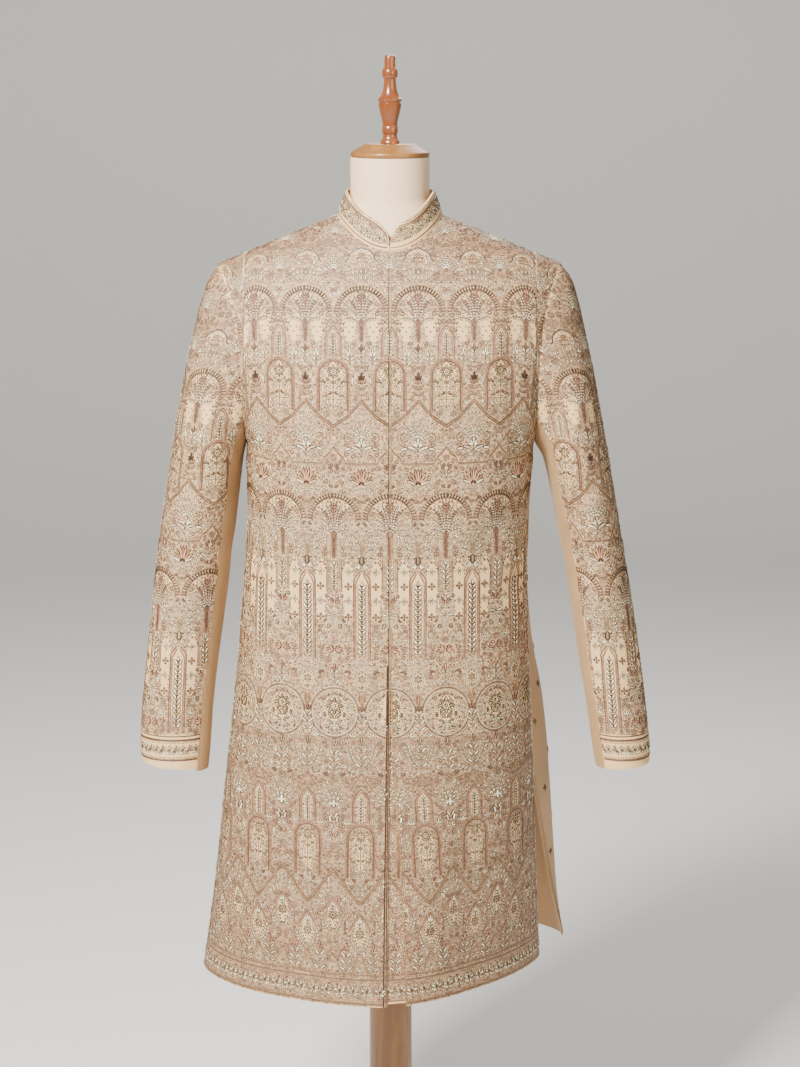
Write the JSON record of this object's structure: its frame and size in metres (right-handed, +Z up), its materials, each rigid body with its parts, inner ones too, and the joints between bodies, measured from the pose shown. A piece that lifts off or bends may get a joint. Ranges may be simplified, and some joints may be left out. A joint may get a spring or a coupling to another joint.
{
  "type": "sherwani coat on dress form",
  "caption": "knee-length embroidered sherwani coat with stand collar and long sleeves, worn by a limbless dress form on a turned wooden stand",
  "frame": {"origin": "middle of the stand's flat underside, on the surface it stands on", "axes": "+Z up the post, -Y the front of the coat, +X the viewer's right seen from the front"},
  "size_m": [0.71, 0.422, 1.7088],
  "materials": {
    "embroidered": "raw silk under dense thread and bead embroidery",
    "plain": "plain raw silk",
    "bust": "smooth cotton cover",
    "pale_wood": "satin lacquer",
    "red_wood": "glossy lacquer"
  },
  "bodies": {
    "root": {"front_left": "embroidered", "front_right": "embroidered", "back": "plain", "collar": "embroidered", "underlap": "embroidered", "sleeve_upper_left": "embroidered", "sleeve_under_left": "plain", "sleeve_upper_right": "embroidered", "sleeve_under_right": "plain", "form_bust": "bust", "neck_cap": "pale_wood", "finial": "red_wood", "post": "pale_wood", "base": "pale_wood"}
  },
  "joints": []
}
